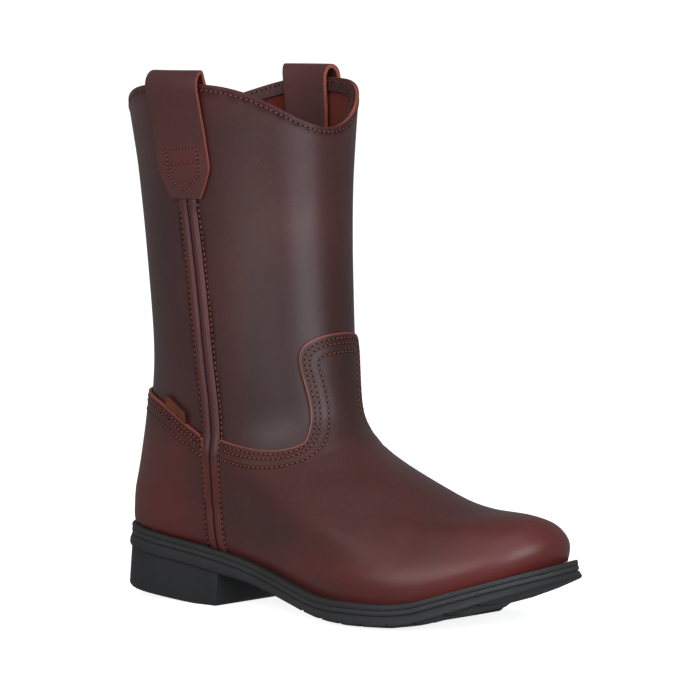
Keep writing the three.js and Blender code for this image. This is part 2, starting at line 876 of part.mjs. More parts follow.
// Stations round the sole, closer together where its outline or its profile bends
function spreadStations() {
  const steps = 400;
  const measure = [0];
  const at = (i) => planPoint((0.5 * i) / steps, 8);
  const angle = (a, b) => Math.atan2(b.y - a.y, b.x - a.x);
  for (let i = 1; i <= steps; i++) {
    const a = at(i - 1);
    const b = at(i);
    const c = at(i + 1);
    const length = Math.hypot(b.x - a.x, b.y - a.y);
    let turn = Math.abs(angle(b, c) - angle(a, b));
    if (turn > Math.PI) turn = 2 * Math.PI - turn;
    const bend = Math.abs(tiltAt(b.x, b.y) - tiltAt(a.x, a.y));
    measure.push(measure[i - 1] + length / 14 + turn / 0.3 + bend / 0.15);
  }
  const stationsU = [];
  let i = 0;
  for (let k = 0; k <= around / 2; k++) {
    const target = (measure[steps] * k) / (around / 2);
    while (i < steps - 1 && measure[i + 1] < target) i++;
    const share = (target - measure[i]) / (measure[i + 1] - measure[i]);
    stationsU.push((0.5 * (i + clamp(share, 0, 1))) / steps);
  }
  for (let k = around / 2 - 1; k > 0; k--) {
    stationsU.push(1 - stationsU[k]);
  }
  return stationsU;
}

const soleStations = spreadStations();

// Loop of the sole's rim: extra is added to the ledge, depth is below the top of the sole
function rimLoop(extra, depth) {
  const loop = [];
  for (let j = 0; j < around; j++) {
    const u = soleStations[j];
    const s = (1 + Math.cos(2 * Math.PI * u)) / 2;
    const p = planPoint(u, leatherOuter + ledgeWide(s) + extra);
    loop.push(soleDepth(p.x, p.y, typeof depth === "function" ? depth(p.x) : depth));
  }
  return loop;
}

// Loop inside the upper, measured from the feather line
function innerLoop(off, depth) {
  const loop = [];
  for (let j = 0; j < around; j++) {
    const p = planPoint(soleStations[j], off);
    loop.push(soleDepth(p.x, p.y, depth));
  }
  return loop;
}

const leftSide = Array.from({ length: around / 2 + 1 }, (_, k) => k);
const rightSide = leftSide.map((k) => (around - k) % around);
const plate = (loops) => stack(loops, leftSide, rightSide);

// The ledge that the upper is stitched to
function weltGeometry() {
  const hole = -liningWall - 0.5;
  const loops = [
    innerLoop(hole, 0),
    rimLoop(-0.5, 0),
    rimLoop(0, 0.5),
    rimLoop(0, weltThick - 0.5),
    rimLoop(-0.4, weltThick),
    innerLoop(hole, weltThick),
  ];
  const triangles = [];
  for (let i = 0; i < loops.length; i++) {
    const below = (i + 1) % loops.length;
    for (let j = 0; j < around; j++) {
      const k = (j + 1) % around;
      triangles.push(i * around + j, below * around + j, below * around + k);
      triangles.push(i * around + j, below * around + k, i * around + k);
    }
  }
  return meshFrom(loops.flat(), triangles);
}

// Board inside the upper, let into the welt
function insoleGeometry() {
  const edge = -liningWall - 0.5 - fit;
  const rise = insoleThick - weltThick;
  return plate([innerLoop(edge - 0.5, -rise), innerLoop(edge, 0.5 - rise), innerLoop(edge, weltThick)]);
}

// Band between the welt and the outsole
function midsoleGeometry() {
  const top = weltThick + fit;
  const foot = top + midsoleThick;
  return plate([
    rimLoop(-0.5, top),
    rimLoop(-0.1, top + 0.4),
    rimLoop(-0.1, foot - 0.6),
    rimLoop(-0.7, foot),
  ]);
}

const wasm = await Module();
wasm.setup();

// Solid for cutting, from triangles that share their corners
function toManifold(geometry) {
  const positions = geometry.getAttribute("position");
  const index = geometry.getIndex();
  const count = index ? index.count : positions.count;
  const keys = new Map();
  const vertices = [];
  const triangles = [];
  for (let i = 0; i < count; i++) {
    const k = index ? index.getX(i) : i;
    const corner = [positions.getX(k), positions.getY(k), positions.getZ(k)];
    const key = corner.map((c) => c.toFixed(5)).join(" ");
    if (!keys.has(key)) {
      keys.set(key, vertices.length / 3);
      vertices.push(...corner);
    }
    triangles.push(keys.get(key));
  }
  const mesh = new wasm.Mesh({
    numProp: 3,
    vertProperties: new Float32Array(vertices),
    triVerts: new Uint32Array(triangles),
  });
  return new wasm.Manifold(mesh);
}

function fromManifold(solid) {
  const mesh = solid.getMesh();
  const geometry = new THREE.BufferGeometry();
  const flat = [];
  for (let i = 0; i < mesh.vertProperties.length; i += mesh.numProp) {
    flat.push(...mesh.vertProperties.slice(i, i + 3));
  }
  geometry.setAttribute("position", new THREE.Float32BufferAttribute(flat, 3));
  geometry.setIndex(Array.from(mesh.triVerts));
  return geometry;
}

// Cutter for one bar of the tread, laid along the sole's underside at x
function barCutter(x) {
  const box = new THREE.BoxGeometry(barWidth, ballWidth + 40, 2 * barDepth);
  box.rotateX(Math.atan(twist(x)));
  box.rotateY(-tiltAt(x, 0));
  const p = soleDepth(x, 0, thickness(x));
  box.translate(p.x, 0, Math.max(0, p.z));
  return box;
}

// Rubber sole under the midsole: grooved side, crowned underside, flat spot under the ball, tread
function outsoleGeometry() {
  const rise = (x) => crown * clamp((x - heelLength - 4) / 25, 0, 1);
  const top = weltThick + midsoleThick + 2 * fit;
  const loops = [
    rimLoop(-1, top),
    rimLoop(-0.2, top + 0.7),
    rimLoop(0.6, top + 3),
    rimLoop(0.8, (x) => thickness(x) - 1.2 - rise(x)),
    rimLoop(0, (x) => thickness(x) - rise(x)),
    rimLoop(-12, thickness),
  ];
  for (const p of loops[loops.length - 1]) {
    if (p.x > flatSpot.from * soleLength && p.x < flatSpot.to * soleLength) p.z = 0;
  }
  let solid = toManifold(plate(loops));
  for (let x = 0.56 * soleLength; x < 0.93 * soleLength; x += barPitch) {
    solid = solid.subtract(toManifold(barCutter(x)));
  }
  return fromManifold(solid);
}

// Heel block under the outsole, square to the heel seat
function heelGeometry() {
  const half = 16;
  const rimAt = (u) => {
    const s = (1 + Math.cos(2 * Math.PI * u)) / 2;
    return planPoint(u, leatherOuter + ledgeWide(s) - 2 * fit);
  };
  let toeward = 0.25;
  let heelward = 0.45;
  for (let i = 0; i < 30; i++) {
    const mid = (toeward + heelward) / 2;
    if (rimAt(mid).x > heelLength) toeward = mid;
    else heelward = mid;
  }
  const edge = [];
  for (let k = -half; k <= half; k++) {
    edge.push(rimAt(0.5 + (k / half) * (0.5 - heelward)));
  }
  edge[0].x = heelLength;
  edge[2 * half].x = heelLength;
  const middle = heelLength / 2;
  const reach = Math.abs(edge[half / 2].y);
  const loop = (depth, inset) =>
    edge.map((p, i) => {
      const q = soleDepth(p.x, p.y * (1 - inset / reach), depth);
      if (i === 0 || i === edge.length - 1) q.x -= inset;
      else q.x += inset * (1 - p.x / middle);
      return q;
    });
  const tilt = tiltAt(middle, 0);
  const down = { x: Math.sin(tilt), z: -Math.cos(tilt) };
  const bottomZ = (x) => heelBevel * Math.max(0, 1 - x / (0.22 * soleLength));
  const drop = (points, lift) =>
    points.map((p) => {
      let s = 0;
      for (let i = 0; i < 20; i++) {
        s = (p.z - lift - bottomZ(p.x + down.x * s)) / -down.z;
      }
      return new THREE.Vector3(p.x + down.x * s, p.y, p.z + down.z * s);
    });
  const top = loop(seatThickness + fit, 0);
  const lower = drop(top, 1.5);
  const bottom = drop(loop(seatThickness + fit, 1.2), 0);
  const left = Array.from({ length: half + 1 }, (_, k) => k);
  const right = left.map((k) => 2 * half - k);
  return stack([top, lower, bottom], left, right);
}

const leather = { color: 0x5e3a36, roughness: 0.5, metalness: 0 };
const redLeather = { color: 0x6a3b33, roughness: 0.5, metalness: 0 };
const rubber = { color: 0x33343a, roughness: 0.8, metalness: 0 };
const group = new THREE.Group();

function add(name, geometry, look) {
  const material = new THREE.MeshStandardMaterial(look);
  material.name = name;
  const mesh = new THREE.Mesh(geometry, material);
  mesh.name = name;
  group.add(mesh);
}

add("outsole", outsoleGeometry(), rubber);
add("heel", heelGeometry(), rubber);
add("midsole", midsoleGeometry(), { ...rubber, color: 0x44454b });
add("welt", weltGeometry(), { ...rubber, color: 0x3c3c40 });
add("insole", insoleGeometry(), { color: 0x8a6a4c, roughness: 0.9, metalness: 0 });
add("upper", upperGeometry(), leather);
add("vamp", vampGeometry(), redLeather);
add("counter", counterGeometry(), redLeather);
add("side_seam_lateral", seamGeometry(-1), leather);
add("side_seam_medial", seamGeometry(1), leather);
add("collar_facing", facingGeometry(), { color: 0x3a2522, roughness: 0.8, metalness: 0 });
add("pull_strap_lateral", strapGeometry(-1), leather);
add("pull_strap_medial", strapGeometry(1), leather);
add("side_tab", tabGeometry(), { color: 0x7a2f22, roughness: 0.9, metalness: 0 });

// Origin on the ground under the middle of the boot
const extent = new THREE.Box3().setFromObject(group);
const middle = extent.getCenter(new THREE.Vector3());
for (const mesh of group.children) {
  mesh.geometry.translate(-middle.x, -middle.y, -extent.min.z);
  mesh.geometry.computeVertexNormals();
}

export default group;
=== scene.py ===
"""A pull-on western work boot for the right foot, dressed in leather, thread and rubber."""

import math

import bpy
import numpy as np
from mathutils import Matrix, Vector
from mathutils.bvhtree import BVHTree
from mathutils.kdtree import KDTree


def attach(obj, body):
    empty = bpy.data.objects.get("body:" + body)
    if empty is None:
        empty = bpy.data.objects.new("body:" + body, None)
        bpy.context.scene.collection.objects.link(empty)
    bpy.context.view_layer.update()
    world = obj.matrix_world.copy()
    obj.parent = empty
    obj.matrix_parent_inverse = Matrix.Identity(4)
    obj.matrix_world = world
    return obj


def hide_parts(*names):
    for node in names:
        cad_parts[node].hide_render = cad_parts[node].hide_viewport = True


bl_info = {
    "name": "Western Work Boot",
    "version": (1, 0, 0),
    "blender": (4, 5, 0),
    "location": "View3D > Sidebar > Boot",
    "description": "Dresses a western work boot in leather, thread and rubber",
    "category": "Object",
}

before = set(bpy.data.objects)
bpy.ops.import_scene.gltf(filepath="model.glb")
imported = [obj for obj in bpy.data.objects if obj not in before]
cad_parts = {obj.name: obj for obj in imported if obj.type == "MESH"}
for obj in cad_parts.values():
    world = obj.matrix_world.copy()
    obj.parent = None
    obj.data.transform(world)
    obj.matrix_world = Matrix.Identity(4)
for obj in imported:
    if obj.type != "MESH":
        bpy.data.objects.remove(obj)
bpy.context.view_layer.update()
MM = 0.001

# Where the photographer stood, in degrees and metres
VIEW_AZIMUTH = 42.89
VIEW_ELEVATION = 5.007
VIEW_ROLL = -1.009
VIEW_DISTANCE = 2.752
VIEW_TARGET = (0.0007, -0.0066, 0.145)
VIEW_LENS = 257.0
VIEW_RIGHT = 0.00674
VIEW_DOWN = 0.00145

# Height up to which the edges of the side seams are followed, in metres, and how far the
# seams lean toward the heel above it, per unit of height
SEAM_TOP = 0.2195
SEAM_LEAN = 0.07

# Material numbers of a leather piece: its face, its back and its cut edge
FACE, BACK, CUT = range(3)

# Rows of stitches inside the rim of vamp and counter, in millimetres
RIM_ROWS = (2.6, 5.4, 10.4)

# Rows behind and before each side seam, in millimetres from its edges
SEAM_ROWS = (1.5, 0.9)


class BootSettings(bpy.types.PropertyGroup):
    """Sizes and colours of the boot that a user would change"""

    shaft_colour: bpy.props.FloatVectorProperty(
        name="Shaft leather",
        description="Colour of the oiled leather of the shaft",
        subtype="COLOR",
        size=3,
        default=(0.052, 0.0155, 0.0145),
    )
    foot_colour: bpy.props.FloatVectorProperty(
        name="Foot leather",
        description="Colour of the redder leather of the foot",
        subtype="COLOR",
        size=3,
        default=(0.062, 0.0150, 0.0125),
    )
    edge_colour: bpy.props.FloatVectorProperty(
        name="Raw edge",
        description="Colour of the leather's cut edges",
        subtype="COLOR",
        size=3,
        default=(0.38, 0.088, 0.058),
    )
    thread_colour: bpy.props.FloatVectorProperty(
        name="Thread",
        description="Colour of the stitches",
        subtype="COLOR",
        size=3,
        default=(0.23, 0.055, 0.030),
    )
    lining_colour: bpy.props.FloatVectorProperty(
        name="Lining",
        description="Colour of the suede inside the shaft",
        subtype="COLOR",
        size=3,
        default=(0.135, 0.021, 0.013),
    )
    stitch_pitch: bpy.props.FloatProperty(
        name="Stitch pitch",
        description="Distance from one stitch to the next in millimetres",
        default=3.0,
        min=1.5,
        max=8.0,
    )
    stitch_width: bpy.props.FloatProperty(
        name="Stitch width",
        description="Thickness of the thread in millimetres",
        default=0.8,
        min=0.3,
        max=2.0,
    )
    smoothness: bpy.props.IntProperty(
        name="Smoothness",
        description="Subdivision of the leather pieces",
        default=2,
        min=1,
        max=3,
    )


def settings():
    return bpy.context.scene.boot_settings


# Selecting and finishing


def deselect_all():
    if bpy.context.object and bpy.context.object.mode != "OBJECT":
        bpy.ops.object.mode_set(mode="OBJECT")
    bpy.ops.object.select_all(action="DESELECT")


def activate(piece):
    deselect_all()
    piece.select_set(True)
    bpy.context.view_layer.objects.active = piece


def apply_modifiers(piece):
    activate(piece)
    for modifier in list(piece.modifiers):
        bpy.ops.object.modifier_apply(modifier=modifier.name)


def finish_piece(piece, slot, *nodes):
    """The piece rides with the boot and stands for its nodes, which it hides; the slot is not used
    """
    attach(piece, "root")
    if nodes:
        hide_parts(*nodes)
    return piece


def copy_of_node(node, name):
    """A merged copy of a node's solid, with its triangles paired into quads"""
    piece = bpy.data.objects.new(name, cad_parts[node].data.copy())
    bpy.context.scene.collection.objects.link(piece)
    piece.data.materials.clear()
    activate(piece)
    bpy.ops.mesh.customdata_custom_splitnormals_clear()
    bpy.ops.object.mode_set(mode="EDIT")
    bpy.ops.mesh.select_all(action="SELECT")
    bpy.ops.mesh.remove_doubles(threshold=0.00002)
    bpy.ops.mesh.tris_convert_to_quads(face_threshold=math.pi, shape_threshold=math.pi)
    bpy.ops.object.mode_set(mode="OBJECT")
    return piece


def faces_by_edge(mesh):
    """The faces on each edge, by the edge's number"""
    beside = [[] for _ in mesh.edges]
    number = {tuple(sorted(e.vertices)): e.index for e in mesh.edges}
    for face in mesh.polygons:
        for key in face.edge_keys:
            beside[number[tuple(sorted(key))]].append(face.index)
    return beside


def mark_faces(piece, sharp):
    """Marks the larger smooth side as face, the other as back and what lies between as cut"""
    mesh = piece.data
    beside = faces_by_edge(mesh)
    near = [[] for _ in mesh.polygons]
    for faces in beside:
        if len(faces) == 2:
            a, b = faces
            turn = mesh.polygons[a].normal.angle(mesh.polygons[b].normal, 0)
            if turn < math.radians(sharp):
                near[a].append(b)
                near[b].append(a)
    label = [-1] * len(mesh.polygons)
    areas = []
    for start in range(len(label)):
        if label[start] >= 0:
            continue
        label[start] = len(areas)
        queue = [start]
        area = 0.0
        while queue:
            face = queue.pop()
            area += mesh.polygons[face].area
            for other in near[face]:
                if label[other] < 0:
                    label[other] = len(areas)
                    queue.append(other)
        areas.append(area)
    order = sorted(range(len(areas)), key=lambda k: -areas[k])
    slot = {order[0]: FACE}
    if len(order) > 1:
        slot[order[1]] = BACK
    for face in mesh.polygons:
        face.material_index = slot.get(label[face.index], CUT)
    weight = mesh.attributes.new("bevel_weight_edge", "FLOAT", "EDGE")
    values = [0.0] * len(mesh.edges)
    for edge, faces in enumerate(beside):
        if len(faces) == 2 and label[faces[0]] != label[faces[1]]:
            values[edge] = 1.0
    weight.data.foreach_set("value", values)


def subdivide(piece, levels):
    smooth = piece.modifiers.new("smooth", "SUBSURF")
    smooth.levels = levels
    smooth.render_levels = levels


def hold_size(piece):
    """Moves the points outward so that the subdivided surface passes through the old ones"""
    wanted = coordinates(piece.data)
    for _ in range(2):
        trial = piece.copy()
        trial.data = piece.data.copy()
        bpy.context.scene.collection.objects.link(trial)
        subdivide(trial, 2)
        apply_modifiers(trial)
        reached = coordinates(trial.data)[: len(wanted)]
        moved = coordinates(piece.data) + (wanted - reached) * 0.9
        mesh = trial.data
        bpy.data.objects.remove(trial)
        bpy.data.meshes.remove(mesh)
        move_to(piece.data, moved)


def smooth_leather(piece, levels, round_mm):
    """Rounds the cut edges and smooths the piece"""
    bevel = piece.modifiers.new("rounded edge", "BEVEL")
    bevel.limit_method = "WEIGHT"
    bevel.width = round_mm * MM
    bevel.segments = 2
    bevel.use_clamp_overlap = True
    apply_modifiers(piece)
    hold_size(piece)
    subdivide(piece, levels)
    apply_modifiers(piece)
    activate(piece)
    bpy.ops.object.shade_smooth()


def leather_piece(node, name, slot, looks, levels, round_mm, sharp=52):
    """One leather piece from its solid, with looks for its face, its back and its cut edge"""
    piece = copy_of_node(node, name)
    for look in looks:
        piece.data.materials.append(look)
    mark_faces(piece, sharp)
    smooth_leather(piece, levels, round_mm)
    return finish_piece(piece, slot, node)


def coordinates(mesh):
    points = np.zeros(len(mesh.vertices) * 3)
    mesh.vertices.foreach_get("co", points)
    return points.reshape(-1, 3)


def move_to(mesh, points):
    mesh.vertices.foreach_set("co", points.ravel())
    mesh.update()


def kd_tree(points):
    """Search tree over single points, numbered in their order"""
    tree = KDTree(len(points))
    for k, p in enumerate(points):
        tree.insert(p, k)
    tree.balance()
    return tree


def tree_of(*pieces, side=None):
    """Search tree over the faces of several pieces, or over one side of them"""
    points = []
    faces = []
    for piece in pieces:
        start = len(points)
        points.extend(v.co.copy() for v in piece.data.vertices)
        for face in piece.data.polygons:
            if side is None or face.material_index == side:
                faces.append([start + k for k in face.vertices])
    return BVHTree.FromPolygons(points, faces)


# Paths along the leather's edges


def edge_loops(piece, inside=FACE):
    """Ordered loops of points where faces of one material meet the others"""
    mesh = piece.data
    beside = faces_by_edge(mesh)
    link = {}
    for edge, faces in zip(mesh.edges, beside):
        marks = [mesh.polygons[f].material_index == inside for f in faces]
        if len(marks) == 2 and marks[0] != marks[1]:
            a, b = edge.vertices
            link.setdefault(a, []).append(b)
            link.setdefault(b, []).append(a)
    loops = []
    left = set(link)
    while left:
        start = left.pop()
        loop = [start]
        here = start
        while True:
            ahead = [k for k in link[here] if k in left]
            if not ahead:
                break
            here = ahead[0]
            left.discard(here)
            loop.append(here)
        if len(loop) > 8:
            loops.append([mesh.vertices[k].co.copy() for k in loop])
    return loops


def runs(loop, keep):
    """Stretches of a closed loop whose points are kept"""
    flags = [keep(p) for p in loop]
    if all(flags):
        return [loop + [loop[0]]]
    start = flags.index(False)
    found = []
    here = []
    for k in range(len(loop) + 1):
        i = (start + k) % len(loop)
        if flags[i]:
            here.append(loop[i])
        elif here:
            found.append(here)
            here = []
    return [run for run in found if len(run) > 3]


def resample(path, step):
    """Points at an even distance along a path"""
    points = [Vector(path[0])]
    carry = 0.0
    total = sum((b - a).length for a, b in zip(path, path[1:]))
    count = max(2, round(total / step))
    step = total / count
    for a, b in zip(path, path[1:]):
        length = (b - a).length
        at = step - carry
        while at <= length:
            points.append(a.lerp(b, at / length))
            at += step
        carry = (carry + length) % step
    return points


def smooth_path(path, times=2):
    for _ in range(times):
        path = (
            [path[0]]
            + [(a + b * 2 + c) / 4 for a, b, c in zip(path, path[1:], path[2:])]
            + [path[-1]]
        )
    return path


def beside(path, tree, distance, away_from=None, under=None):
    """The path moved sideways over the surface, onto the leather or away from a piece"""
    path = smooth_path(resample(path, 0.0015))
    start = kd_tree(path)
    moved = {}
    for side in (1, -1):
        points = []
        gap = 0.0
        for k, p in enumerate(path):
            along = (path[min(k + 1, len(path) - 1)] - path[max(k - 1, 0)]).normalized()
            _, normal, _, _ = (under or tree).find_nearest(p)
            q = p + normal.cross(along).normalized() * (side * distance)
            spot, _, _, far = tree.find_nearest(q)
            points.append(spot)
            gap += away_from.find_nearest(q)[3] * -1 if away_from else far
        clear = [p for p in points if start.find(p)[2] > distance * 0.94]
        moved[gap] = clear if len(clear) > 3 else points
    return smooth_path(resample(smooth_path(moved[min(moved)], 3), 0.0015), 3)


def midline(first, second):
    """The path halfway between two paths that run side by side"""
    first = resample(first, 0.002)
    second = resample(second, 0.002)
    if (first[0] - second[0]).length > (first[0] - second[-1]).length:
        second.reverse()
    count = min(len(first), len(second))
    path = []
    for k in range(count):
        share = k / (count - 1)
        a = first[round(share * (len(first) - 1))]
        b = second[round(share * (len(second) - 1))]
        path.append((a + b) / 2)
    return resample(path, 0.0015)


def outermost(path, lining, tree):
    """The path lifted straight out from the lining onto the outermost surface of a tree"""
    lifted = []
    for p in path:
        spot, normal, _, _ = lining.find_nearest(p)
        hit = tree.ray_cast(spot + normal * (7 * MM), -normal)[0]
        lifted.append(hit or p)
    return lifted


def stretch(path, tree, stop):
    """Carries both ends of a row on over the surface until they come near a piece"""
    for _ in range(2):
        path.reverse()
        for _ in range(8):
            ahead = path[-1] + (path[-1] - path[-5]) / 4
            spot = tree.find_nearest(ahead)[0]
            if stop.find_nearest(spot)[3] < 1.3 * MM:
                break
            path.append(spot)
    return path


# Stitches


def thread_bead():
    """One stitch, a small pointed bead as long as it is deep sunk, and its hole"""
    deselect_all()
    bpy.ops.mesh.primitive_uv_sphere_add(segments=8, ring_count=6, radius=0.5)
    bead = bpy.context.object
    bead.data.transform(Matrix.Rotation(math.pi / 2, 4, "Y"))
    points = coordinates(bead.data)
    faces = [list(p.vertices) for p in bead.data.polygons]
    bpy.data.objects.remove(bead)
    return points, faces


def beads_mesh(name, spots, size, look):
    """One mesh of beads, each at a spot given as place, direction and normal"""
    points, faces = thread_bead()
    all_points = []
    all_faces = []
    for place, along, normal in spots:
        side = normal.cross(along).normalized()
        axes = np.array([along, side, normal]) * np.array(size)[:, None]
        start = len(all_points) * len(points)
        all_points.append(points @ axes + np.array(place))
        all_faces.extend([[start + k for k in face] for face in faces])
    mesh = bpy.data.meshes.new(name)
    mesh.from_pydata(np.concatenate(all_points), [], all_faces)
    mesh.materials.append(look)
    piece = bpy.data.objects.new(name, mesh)
    bpy.context.scene.collection.objects.link(piece)
    activate(piece)
    bpy.ops.object.shade_smooth()
    return piece


def spots_along(path, tree, pitch, lift):
    """Even places along a path on the surface, with direction and normal"""
    points = resample(path, pitch)
    spots = []
    for a, b in zip(points, points[1:]):
        spot, normal, _, _ = tree.find_nearest((a + b) / 2)
        along = b - a
        along = (along - normal * along.dot(normal)).normalized()
        spots.append((spot + normal * lift, along, normal))
    return spots


class Sewing:
    """Collects the stitches of one leather piece, then makes its thread and the painted shade of
    its holes
    """

    def __init__(self):
        self.threads = []
        self.holes = []
        self.marks = []
        self.pitch = 0.0

    def row(self, path, tree, pitch=None):
        pitch = (pitch or settings().stitch_pitch) * MM
        self.pitch = pitch
        self.threads += spots_along(path, tree, pitch, 0.10 * MM)
        halves = resample(path, pitch)
        for k, p in enumerate(halves):
            spot, normal, _, _ = tree.find_nearest(p)
            along = (halves[min(k + 1, len(halves) - 1)] - halves[max(k - 1, 0)]).normalized()
            along = (along - normal * along.dot(normal)).normalized()
            self.holes.append((spot, along, normal))
        self.marks += [Vector(s[0]) for s in self.threads[-len(halves) :]]

    def make(self, name, slot, length=0.68, gap=1.0):
        """Thread and painted shade for the holes, with the stitch's share of the pitch and the
        hole's length
        """
        wide = settings().stitch_width * MM
        size = (self.pitch * length, wide, wide * 0.7)
        finish_piece(beads_mesh(name + "_thread", self.threads, size, LOOKS["thread"]), slot)
        # Near-black beads over the holes are painted shade
        dark = (wide * 1.35 * gap, wide * 1.3, wide * 0.9)
        finish_piece(beads_mesh(name + "_holes", self.holes, dark, LOOKS["hole"]), slot)


# Looks


class Look:
    """Small helper for building a material's nodes"""

    def __init__(self, name):
        self.material = bpy.data.materials.new(name)
        self.material.use_nodes = True
        self.tree = self.material.node_tree
        self.shader = self.tree.nodes["Principled BSDF"]
        self.place = self.tree.nodes.new("ShaderNodeTexCoord")

    def node(self, kind, **values):
        made = self.tree.nodes.new(kind)
        for key, value in values.items():
            if hasattr(made, key):
                setattr(made, key, value)
            else:
                made.inputs[key.replace("_", " ")].default_value = value
        return made

    def link(self, output, target, socket):
        self.tree.links.new(output, target.inputs[socket])

    def noise(self, scale, detail=3.0, rough=0.5, stretch=None):
        made = self.node("ShaderNodeTexNoise", Scale=scale, Detail=detail, Roughness=rough)
        if stretch:
            mapping = self.node("ShaderNodeMapping")
            mapping.inputs["Scale"].default_value = stretch
            self.link(self.place.outputs["Object"], mapping, "Vector")
            self.link(mapping.outputs["Vector"], made, "Vector")
        else:
            self.link(self.place.outputs["Object"], made, "Vector")
        return made.outputs["Fac"]

    def cells(self, scale):
        made = self.node("ShaderNodeTexVoronoi", Scale=scale)
        self.link(self.place.outputs["Object"], made, "Vector")
        return made.outputs["Distance"]

    def attribute(self, name):
        made = self.node("ShaderNodeAttribute")
        made.attribute_name = name
        return made.outputs["Fac"]

    def ramp(self, value, *stops):
        made = self.node("ShaderNodeValToRGB")
        elements = made.color_ramp.elements
        while len(elements) < len(stops):
            elements.new(0.5)
        for element, (at, colour) in zip(elements, stops):
            element.position = at
            element.color = colour if len(colour) == 4 else (*colour, 1)
        self.link(value, made, "Fac")
        return made.outputs["Color"]

    def span(self, value, low, high, to_low, to_high):
        made = self.node("ShaderNodeMapRange")
        for socket, number in zip(
            ("From Min", "From Max", "To Min", "To Max"), (low, high, to_low, to_high)
        ):
            made.inputs[socket].default_value = number
        self.link(value, made, "Value")
        return made.outputs["Result"]

    def mix(self, factor, first, second, blend="MIX"):
        made = self.node("ShaderNodeMix", data_type="RGBA", blend_type=blend)
        for socket, value in ((0, factor), (6, first), (7, second)):
            if isinstance(value, (int, float)):
                made.inputs[socket].default_value = value
            elif isinstance(value, tuple):
                made.inputs[socket].default_value = (*value[:3], 1)
            else:
                self.tree.links.new(value, made.inputs[socket])
        return made.outputs[2]

    def maths(self, operation, first, second):
        made = self.node("ShaderNodeMath", operation=operation)
        for socket, value in ((0, first), (1, second)):
            if isinstance(value, (int, float)):
                made.inputs[socket].default_value = value
            else:
                self.tree.links.new(value, made.inputs[socket])
        return made.outputs[0]

    def bump(self, height, strength, distance, under=None):
        made = self.node("ShaderNodeBump", Strength=strength, Distance=distance)
        self.link(height, made, "Height")
        if under:
            self.link(under, made, "Normal")
        return made.outputs["Normal"]

    def set(self, **values):
        for key, value in values.items():
            socket = self.shader.inputs[key.replace("_", " ")]
            if isinstance(value, (int, float)):
                socket.default_value = value
            elif isinstance(value, tuple):
                socket.default_value = (*value[:3], 1) if len(value) == 3 else value
            else:
                self.tree.links.new(value, socket)
        return self


def shade(colour, factor, red=1.0):
    """A lighter or darker tone of a colour, warmer where red is above 1"""
    return (colour[0] * factor * red, colour[1] * factor, colour[2] * factor)


def oiled_leather(name, colour, sheen_rough, polish=0.0):
    """Smooth oiled leather: cloudy tones, fine grain, small scuffs, painted shade beside the
    stitches and on marked regions
    """
    look = Look(name)
    clouds = look.noise(11.0, 5.0, 0.62)
    tone = look.ramp(
        clouds,
        (0.30, shade(colour, 0.72)),
        (0.52, shade(colour, 1.0)),
        (0.72, shade(colour, 1.32, 1.12)),
    )
    flecks = look.noise(420.0, 2.0, 0.6)
    tone = look.mix(look.span(flecks, 0.35, 0.7, 0.0, 0.22), tone, shade(colour, 1.7, 1.05))
    patches = look.span(clouds, 0.3, 0.6, 0.6, 1.0)
    burnish = look.maths("MULTIPLY", look.attribute("burnish"), patches)
    tone = look.mix(burnish, tone, shade(colour, 1.1, 1.75))
    # Painted shade along the sunk stitch lines and in the seam groove, with the sheen taken away
    # there too
    sunk_shade = look.attribute("sunk_shade")
    tone = look.mix(sunk_shade, tone, shade(colour, 0.3))
    # Painted shade over the regions that each piece marks for it
    tone = look.mix(look.attribute("painted_shade"), tone, shade(colour, 0.25))
    tone = look.mix(look.attribute("wear"), tone, shade(colour, 4.2, 1.25))
    mask = look.span(look.noise(90.0, 2.0, 0.5), 0.56, 0.60, 0.0, 1.0)
    specks = look.span(look.cells(330.0), 0.07, 0.11, 0.5, 0.0)
    tone = look.mix(look.maths("MULTIPLY", mask, specks), tone, (0.22, 0.16, 0.145))
    scuffs = look.noise(150.0, 6.0, 0.75, (1.0, 1.0, 0.35))
    dust = look.span(scuffs, 0.68, 0.80, 0.0, 0.5)
    tone = look.mix(dust, tone, (0.16, 0.11, 0.10))
    pores = look.cells(1500.0)
    grain = look.noise(900.0, 3.0, 0.6)
    waves = look.noise(75.0, 3.0, 0.5)
    normal = look.bump(pores, 0.10, 0.00012)
    normal = look.bump(grain, 0.16, 0.00010, normal)
    normal = look.bump(waves, 0.22, 0.00055, normal)
    rough = look.span(clouds, 0.25, 0.75, sheen_rough + 0.05, sheen_rough - 0.05)
    rough = look.maths("ADD", rough, look.span(grain, 0.3, 0.7, -0.03, 0.03))
    look.set(Base_Color=tone, Roughness=rough, Normal=normal)
    look.set(Specular_IOR_Level=look.span(sunk_shade, 0.0, 1.0, 0.5, 0.05))
    look.set(Coat_Weight=polish, Coat_Roughness=0.36)
    return look.material


def raw_edge(name, colour):
    """Cut edge of the leather, pale and fibrous"""
    look = Look(name)
    fibres = look.noise(520.0, 4.0, 0.7, (1.0, 1.0, 2.5))
    tone = look.ramp(fibres, (0.3, shade(colour, 0.55)), (0.62, colour), (0.8, shade(colour, 1.4)))
    look.set(Base_Color=tone, Roughness=0.75, Normal=look.bump(fibres, 0.5, 0.0003))
    return look.material


def suede(name, colour):
    """Napped inner side of the leather"""
    look = Look(name)
    nap = look.noise(620.0, 4.0, 0.75)
    clouds = look.noise(30.0, 3.0, 0.6)
    tone = look.ramp(clouds, (0.3, shade(colour, 0.7)), (0.6, colour), (0.8, shade(colour, 1.35)))
    tone = look.mix(look.span(nap, 0.4, 0.7, 0.0, 0.4), tone, shade(colour, 1.9))
    look.set(Base_Color=tone, Roughness=0.95, Normal=look.bump(nap, 0.6, 0.0004))
    look.set(Specular_IOR_Level=0.2, Sheen_Weight=0.08, Sheen_Roughness=0.5)
    return look.material


